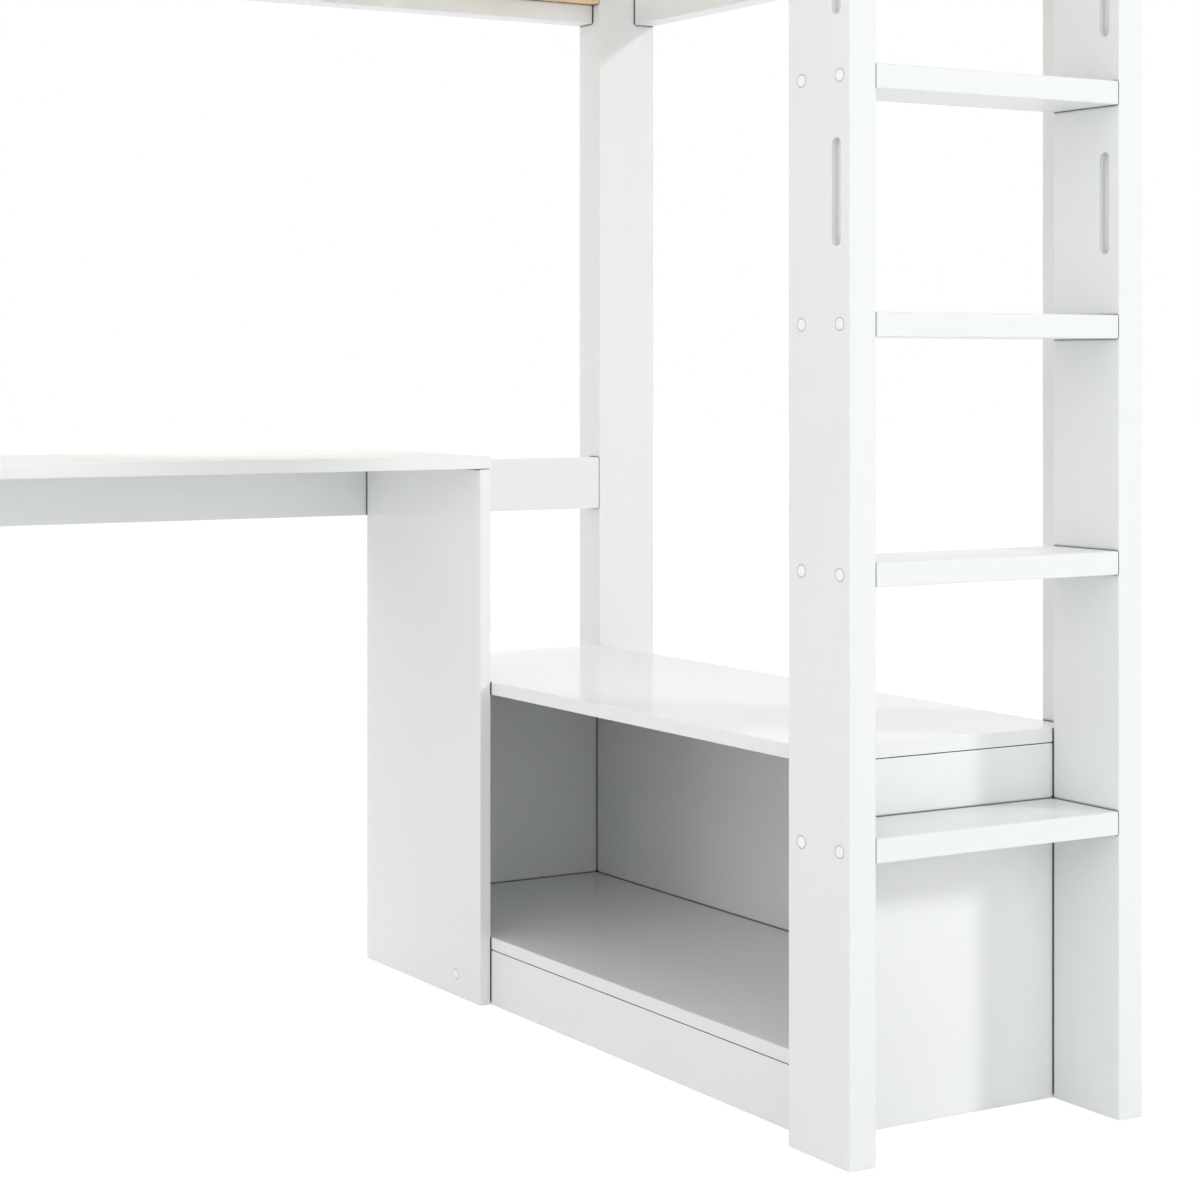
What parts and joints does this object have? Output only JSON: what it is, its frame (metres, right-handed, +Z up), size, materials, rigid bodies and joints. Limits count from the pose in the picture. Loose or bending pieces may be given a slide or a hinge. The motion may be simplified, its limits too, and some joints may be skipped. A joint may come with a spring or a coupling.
{
  "type": "loft bed",
  "caption": "High slatted bed on square posts with guard boards and an upright ladder of flat treads, over a desk and a low cabinet that is open at one side.",
  "frame": {"origin": "on the floor, under the middle of the bed's bounding box, ladder included", "axes": "+X along the bed from the desk end to the ladder end, +Y from the ladder side to the wall side, +Z up"},
  "size_m": [1.988, 1.179, 1.78],
  "materials": {
    "white_lacquer": "satin white lacquer on solid wood",
    "white_panel": "smooth white coated panel, satin to semi-gloss",
    "bare_pine": "bare sanded pine",
    "screw_cap": "white coated screw with a white cap"
  },
  "bodies": {
    "root": {"front_left_post": "white_lacquer", "front_right_post": "white_lacquer", "rear_left_post": "white_lacquer", "rear_right_post": "white_lacquer", "front_rail": "white_lacquer", "rear_rail": "white_lacquer", "left_end_rail": "white_lacquer", "right_end_rail": "white_lacquer", "front_cleat": "bare_pine", "rear_cleat": "bare_pine", "slat_1": "bare_pine", "slat_2": "bare_pine", "slat_3": "bare_pine", "slat_4": "bare_pine", "slat_5": "bare_pine", "slat_6": "bare_pine", "slat_7": "bare_pine", "slat_8": "bare_pine", "slat_9": "bare_pine", "slat_10": "bare_pine", "slat_11": "bare_pine", "slat_12": "bare_pine", "front_guard_1": "white_lacquer", "front_guard_2": "white_lacquer", "rear_guard_1": "white_lacquer", "rear_guard_2": "white_lacquer", "left_guard_1": "white_lacquer", "left_guard_2": "white_lacquer", "right_guard_1": "white_lacquer", "right_guard_2": "white_lacquer", "rear_stabiliser": "white_lacquer", "left_stabiliser": "white_lacquer", "desktop": "white_panel", "desk_left_panel": "white_panel", "desk_right_panel": "white_panel", "kickboard_screw": "screw_cap", "cabinet_top": "white_panel", "cabinet_near_end": "white_panel", "cabinet_far_end": "white_panel", "cabinet_back": "white_panel", "cabinet_shelf": "white_panel", "cabinet_kickboard": "white_panel", "left_stile": "white_lacquer", "right_stile": "white_lacquer", "rung_1": "white_lacquer", "rung_2": "white_lacquer", "rung_3": "white_lacquer", "rung_4": "white_lacquer", "rung_5": "white_lacquer", "rung_1_front_screw": "screw_cap", "rung_1_back_screw": "screw_cap", "rung_2_front_screw": "screw_cap", "rung_2_back_screw": "screw_cap", "rung_3_front_screw": "screw_cap", "rung_3_back_screw": "screw_cap", "rung_4_front_screw": "screw_cap", "rung_4_back_screw": "screw_cap", "rung_5_front_screw": "screw_cap", "rung_5_back_screw": "screw_cap"}
  },
  "joints": []
}
